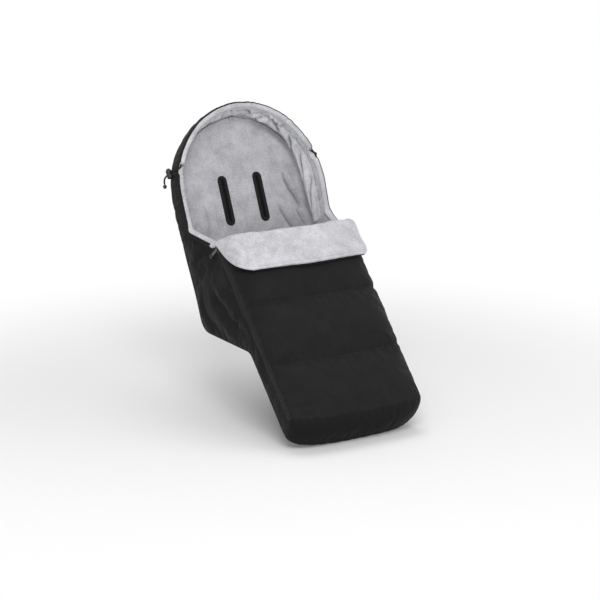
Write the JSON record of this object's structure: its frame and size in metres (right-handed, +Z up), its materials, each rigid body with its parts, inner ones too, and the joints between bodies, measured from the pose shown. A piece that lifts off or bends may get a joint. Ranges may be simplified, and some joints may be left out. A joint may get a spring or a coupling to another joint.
{
  "type": "stroller footmuff",
  "caption": "Padded footmuff in seated shape: hooded back panel with harness slots, zip-off quilted cover, turned-down plush collar and a drawcord hood with cord locks.",
  "frame": {"origin": "on the underside of the seat section, in its middle, where the footmuff lies on the seat", "axes": "+Z up, -Y towards the feet, +Y towards the backrest, X across the seat"},
  "size_m": [0.3974, 0.6032, 0.6653],
  "materials": {
    "black_cloth": "matte woven polyester",
    "black_wipe_clean_cloth": "smooth coated polyester",
    "grey_plush": "short pile plush, matte",
    "white_wadding": "soft fibre wadding",
    "black_tape": "woven tape and cord, matte",
    "black_plastic": "fine satin",
    "grey_metal": "dark nickel plated, satin",
    "spring_steel": "plain"
  },
  "bodies": {
    "muff": {"back_shell": "black_cloth", "back_wadding": "white_wadding", "back_lining": "grey_plush", "foot_shell": "black_wipe_clean_cloth", "foot_wadding": "white_wadding", "foot_lining": "grey_plush", "hood_shell": "black_cloth", "hood_wadding": "white_wadding", "hood_lining": "grey_plush", "side_shell_left": "black_cloth", "side_wadding_left": "white_wadding", "side_lining_left": "grey_plush", "side_shell_right": "black_cloth", "side_wadding_right": "white_wadding", "side_lining_right": "grey_plush", "hood_channel": "grey_plush", "drawcord": "black_tape", "rim_binding_left": "grey_plush", "eyelet_left": "grey_metal", "side_zip_left": "black_tape", "shoulder_slot_left_binding": "black_tape", "waist_slot_left_binding": "black_tape", "cord_end_left": "black_plastic", "rim_binding_right": "grey_plush", "eyelet_right": "grey_metal", "side_zip_right": "black_tape", "shoulder_slot_right_binding": "black_tape", "waist_slot_right_binding": "black_tape", "cord_end_right": "black_plastic", "crotch_slot_binding": "black_tape", "head_pocket": "black_cloth", "pocket_elastic": "black_tape"},
    "cover": {"cover_shell": "black_cloth", "cover_wadding": "white_wadding", "cover_lining": "grey_plush", "cover_zip_left": "black_tape", "cover_zip_right": "black_tape"},
    "collar": {"collar_shell": "black_cloth", "collar_wadding": "white_wadding", "collar_lining": "grey_plush"},
    "zip_slider_left": {"zip_slider_left": "grey_metal"},
    "zip_pull_left": {"zip_pull_left": "grey_metal"},
    "cord_lock_left": {"cord_lock_left": "black_plastic"},
    "cord_lock_button_left": {"cord_lock_button_left": "black_plastic", "cord_lock_spring_left": "spring_steel"},
    "zip_slider_right": {"zip_slider_right": "grey_metal"},
    "zip_pull_right": {"zip_pull_right": "grey_metal"},
    "cord_lock_right": {"cord_lock_right": "black_plastic"},
    "cord_lock_button_right": {"cord_lock_button_right": "black_plastic", "cord_lock_spring_right": "spring_steel"}
  },
  "joints": [
    {"name": "cover_open", "type": "hinge", "parent": "muff", "child": "cover", "pos_m": [0, -0.30816, -0.10264], "axis": [1, 0, 0], "range_deg": [0, 135]},
    {"name": "collar_raise", "type": "hinge", "parent": "cover", "child": "collar", "pos_m": [0, 0.01691, 0.21444], "axis": [-1, 0, 0], "range_deg": [0, 48]},
    {"name": "zip_left_slide", "type": "slide", "parent": "cover", "child": "zip_slider_left", "axis": [0, -0.6984, -0.7157], "range_m": [0, 0.4]},
    {"name": "zip_pull_left_swing", "type": "hinge", "parent": "zip_slider_left", "child": "zip_pull_left", "pos_m": [-0.1701, 0.02932, 0.20413], "axis": [0, 0.6984, 0.7157], "range_deg": [0, 75]},
    {"name": "zip_right_slide", "type": "slide", "parent": "cover", "child": "zip_slider_right", "axis": [0, -0.6984, -0.7157], "range_m": [0, 0.4]},
    {"name": "zip_pull_right_swing", "type": "hinge", "parent": "zip_slider_right", "child": "zip_pull_right", "pos_m": [0.1701, 0.02932, 0.20413], "axis": [0, -0.6984, -0.7157], "range_deg": [0, 75]},
    {"name": "cord_lock_left_slide", "type": "slide", "parent": "muff", "child": "cord_lock_left", "axis": [0, 0.8361, -0.5486], "range_m": [0, 0.012]},
    {"name": "cord_lock_button_left_press", "type": "slide", "parent": "cord_lock_left", "child": "cord_lock_button_left", "axis": [0, -0.5486, -0.8361], "range_m": [0, 0.003], "stiffness_N_per_m": 300, "springref_m": -0.003, "deforming": ["cord_lock_spring_left"]},
    {"name": "cord_lock_right_slide", "type": "slide", "parent": "muff", "child": "cord_lock_right", "axis": [0, 0.8361, -0.5486], "range_m": [0, 0.012]},
    {"name": "cord_lock_button_right_press", "type": "slide", "parent": "cord_lock_right", "child": "cord_lock_button_right", "axis": [0, -0.5486, -0.8361], "range_m": [0, 0.003], "stiffness_N_per_m": 300, "springref_m": -0.003, "deforming": ["cord_lock_spring_right"]}
  ]
}
